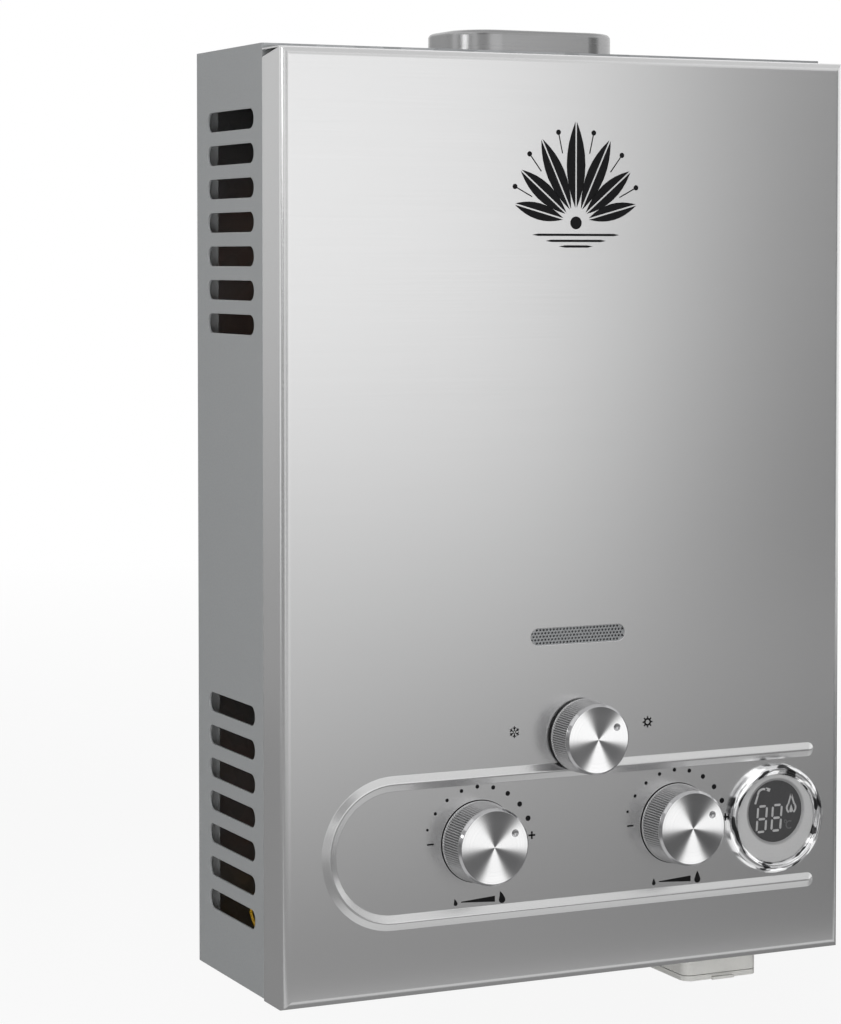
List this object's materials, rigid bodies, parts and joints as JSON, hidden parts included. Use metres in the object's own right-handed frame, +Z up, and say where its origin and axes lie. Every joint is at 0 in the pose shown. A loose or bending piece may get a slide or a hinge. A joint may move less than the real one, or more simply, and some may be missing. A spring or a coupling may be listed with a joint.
{
  "type": "instantaneous water heater",
  "caption": "Wall-hung instantaneous gas water heater with a stainless front, louvred sides, flue collar, control knobs, round temperature display and hinged battery box.",
  "frame": {"origin": "centre of the rectangle of wall screw holes, on the wall plane", "axes": "+Z up, +Y into the wall, +X to the right of someone facing the front; the front faces -Y"},
  "size_m": [0.296, 0.1218, 0.4635],
  "materials": {
    "case_paint": "satin grey coat",
    "stainless": "fine brushed stainless",
    "zinc_steel": "zinc coated sheet",
    "copper": "plain copper, leaded outside",
    "brass": "machined brass",
    "cast_alloy": "die-cast, as cast",
    "steel": "turned steel",
    "knob_metal": "knurled and clear coated",
    "knob_face": "spun and polished",
    "chrome": "bright chrome",
    "fascia": "satin silver",
    "window": "dark clear window",
    "board": "circuit board",
    "dark_plastic": "moulded",
    "off_white": "moulded, fine grain",
    "ceramic": "glazed white",
    "rubber": "moulded",
    "red_lead": "insulated lead",
    "yellow_lead": "insulated lead",
    "cell_wrap": "printed wrap, plain",
    "coil_blue": "potted coil"
  },
  "bodies": {
    "case": {"back_panel": "zinc_steel", "left_side_panel": "case_paint", "right_side_panel": "case_paint", "top_plate": "zinc_steel", "bottom_plate": "zinc_steel", "front_cover": "stainless", "sight_grille": "steel", "flue_collar": "stainless", "flue_hood": "zinc_steel", "cover_screws": "steel", "combustion_chamber": "copper", "exchanger_fins": "copper", "exchanger_tube": "copper", "chamber_brackets": "zinc_steel", "overheat_switch": "dark_plastic", "burner_frame": "zinc_steel", "burner_bars": "steel", "gas_manifold": "zinc_steel", "gas_nozzles": "brass", "electrodes": "steel", "electrode_insulators": "ceramic", "electrode_leads": "red_lead", "gas_valve_body": "cast_alloy", "gas_solenoid": "coil_blue", "gas_riser": "zinc_steel", "gas_inlet_fitting": "brass", "water_valve_body": "brass", "diaphragm": "rubber", "diaphragm_cover": "brass", "diaphragm_screws": "steel", "water_inlet_fitting": "brass", "cold_pipe": "copper", "hot_pipe": "copper", "water_outlet_fitting": "brass", "union_nuts": "brass", "valve_bracket": "zinc_steel", "microswitch": "dark_plastic", "display_bezel": "chrome", "display_fascia": "fascia", "display_window": "window", "display_board": "board", "ignition_controller": "dark_plastic", "battery_box": "off_white", "door_pin": "steel", "batteries": "cell_wrap", "battery_contacts": "brass", "power_leads": "yellow_lead"},
    "gas_control": {"gas_knob": "knob_metal", "gas_knob_face": "knob_face", "gas_shaft": "steel"},
    "water_control": {"water_knob": "knob_metal", "water_knob_face": "knob_face", "water_shaft": "steel"},
    "season_control": {"season_knob": "knob_metal", "season_knob_face": "knob_face", "season_shaft": "steel"},
    "battery_lid": {"battery_door": "off_white", "door_contact": "brass"},
    "push_rod": {"push_rod": "steel"},
    "switch_lever": {"switch_lever": "steel"}
  },
  "joints": [
    {"name": "gas_turn", "type": "hinge", "parent": "case", "child": "gas_control", "pos_m": [-0.05, -0.105, -0.1493], "axis": [0, -1, 0], "range_deg": [-29, 151]},
    {"name": "water_turn", "type": "hinge", "parent": "case", "child": "water_control", "pos_m": [0.055, -0.105, -0.1493], "axis": [0, -1, 0], "range_deg": [-29, 151]},
    {"name": "season_turn", "type": "hinge", "parent": "case", "child": "season_control", "pos_m": [0.004, -0.105, -0.1035], "axis": [0, -1, 0], "range_deg": [-29, 151]},
    {"name": "lid_swing", "type": "hinge", "parent": "case", "child": "battery_lid", "pos_m": [0.099, -0.0044, -0.2324], "axis": [1, 0, 0], "range_deg": [0, 90]},
    {"name": "rod_push", "type": "slide", "parent": "case", "child": "push_rod", "axis": [-1, 0, 0], "range_m": [0, 0.004]},
    {"name": "lever_swing", "type": "hinge", "parent": "case", "child": "switch_lever", "pos_m": [-0.0034, -0.058, -0.1378], "axis": [0, 1, 0], "range_deg": [0, 30.5]}
  ],
  "couplings": [
    {"joint": "lever_swing", "follows": "rod_push", "rad_per_m": 130.9}
  ]
}
